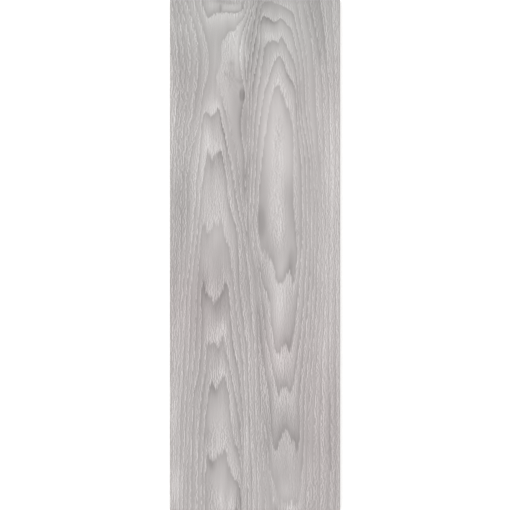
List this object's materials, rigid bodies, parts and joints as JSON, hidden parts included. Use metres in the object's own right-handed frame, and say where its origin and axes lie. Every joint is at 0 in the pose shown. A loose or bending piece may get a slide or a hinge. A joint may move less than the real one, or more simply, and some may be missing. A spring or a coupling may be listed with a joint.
{
  "type": "wood look porcelain plank tile",
  "caption": "Rectangular matt glazed porcelain plank tile with a pale grey ash wood grain face, square ground edges and a keyed back, for floors and walls.",
  "frame": {"origin": "centre of the back, on the plane of the rib tops that the tile lies on", "axes": "+X across the plank, +Y along the plank, +Z out of the glazed face"},
  "size_m": [0.2, 0.6, 0.009],
  "materials": {
    "matt_glazed_porcelain": "matt glaze printed with a limed grey ash grain"
  },
  "bodies": {
    "root": {"plank_tile": "matt_glazed_porcelain"}
  },
  "joints": []
}
